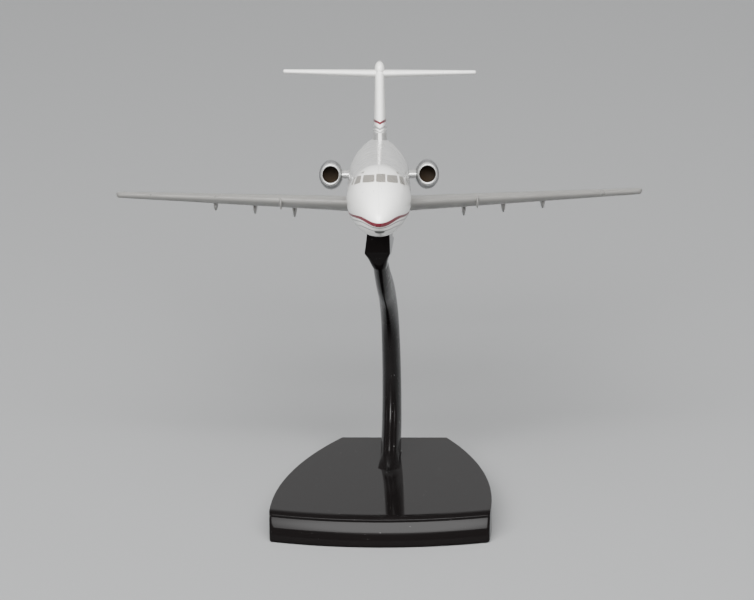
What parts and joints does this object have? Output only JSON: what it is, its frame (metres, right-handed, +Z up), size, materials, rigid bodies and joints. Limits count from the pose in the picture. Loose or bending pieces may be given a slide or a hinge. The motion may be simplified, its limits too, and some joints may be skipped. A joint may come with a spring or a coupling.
{
  "type": "desktop model aircraft",
  "caption": "Desktop model of a rear-engined T-tail airliner, pitched nose up on a curved gloss-black arm and shield-shaped base, with a swivel pin and lift-off fit.",
  "frame": {"origin": "middle of the stand's underside, on the surface that it stands on", "axes": "+Z up, -Y towards the front of the stand and the airliner's nose, +X towards the airliner's left wing"},
  "size_m": [0.144, 0.1889, 0.111],
  "materials": {
    "black_gloss": "polished black injection-moulded plastic",
    "felt": "thin black felt",
    "steel": "plain steel",
    "white_gloss": "gloss white lacquer on plastic",
    "wing_grey": "satin silver-grey paint on plastic",
    "engine_grey": "satin metallic grey paint on plastic",
    "bright_lip": "bright silver paint on plastic",
    "dark_blank": "matt dark brown paint",
    "grey_plastic": "satin dark grey plastic"
  },
  "bodies": {
    "stand": {"base_shell": "black_gloss", "base_felt_pad": "felt", "base_ballast_plate": "steel", "stand_arm": "black_gloss", "arm_screw": "steel", "arm_washer": "steel"},
    "pin": {"mounting_pin": "steel"},
    "airliner": {"fuselage_left": "white_gloss", "fuselage_right": "white_gloss", "stand_socket": "grey_plastic", "tail_fin": "white_gloss", "tailplane_bullet": "white_gloss", "tailplane_left": "white_gloss", "tailplane_right": "white_gloss", "wing_left": "wing_grey", "wing_right": "wing_grey", "engine_pylon_left": "engine_grey", "engine_pylon_right": "engine_grey", "engine_nacelle_left": "engine_grey", "engine_nacelle_right": "engine_grey", "intake_lip_left": "bright_lip", "intake_lip_right": "bright_lip", "intake_blank_left": "dark_blank", "intake_blank_right": "dark_blank", "exhaust_nozzle_left": "bright_lip", "exhaust_nozzle_right": "bright_lip", "exhaust_cone_left": "engine_grey", "exhaust_cone_right": "engine_grey", "vortilon_left": "wing_grey", "vortilon_right": "wing_grey", "flap_fairing_left_1": "grey_plastic", "flap_fairing_left_2": "grey_plastic", "flap_fairing_left_3": "grey_plastic", "flap_fairing_right_1": "grey_plastic", "flap_fairing_right_2": "grey_plastic", "flap_fairing_right_3": "grey_plastic"}
  },
  "joints": [
    {"name": "airliner_swivel", "type": "hinge", "parent": "stand", "child": "pin", "pos_m": [0, -0.004, 0.0816], "axis": [0, 0.2215, 0.9751], "continuous": true},
    {"name": "airliner_lift", "type": "slide", "parent": "pin", "child": "airliner", "axis": [0, 0.2215, 0.9751], "range_m": [0, 0.03]}
  ]
}
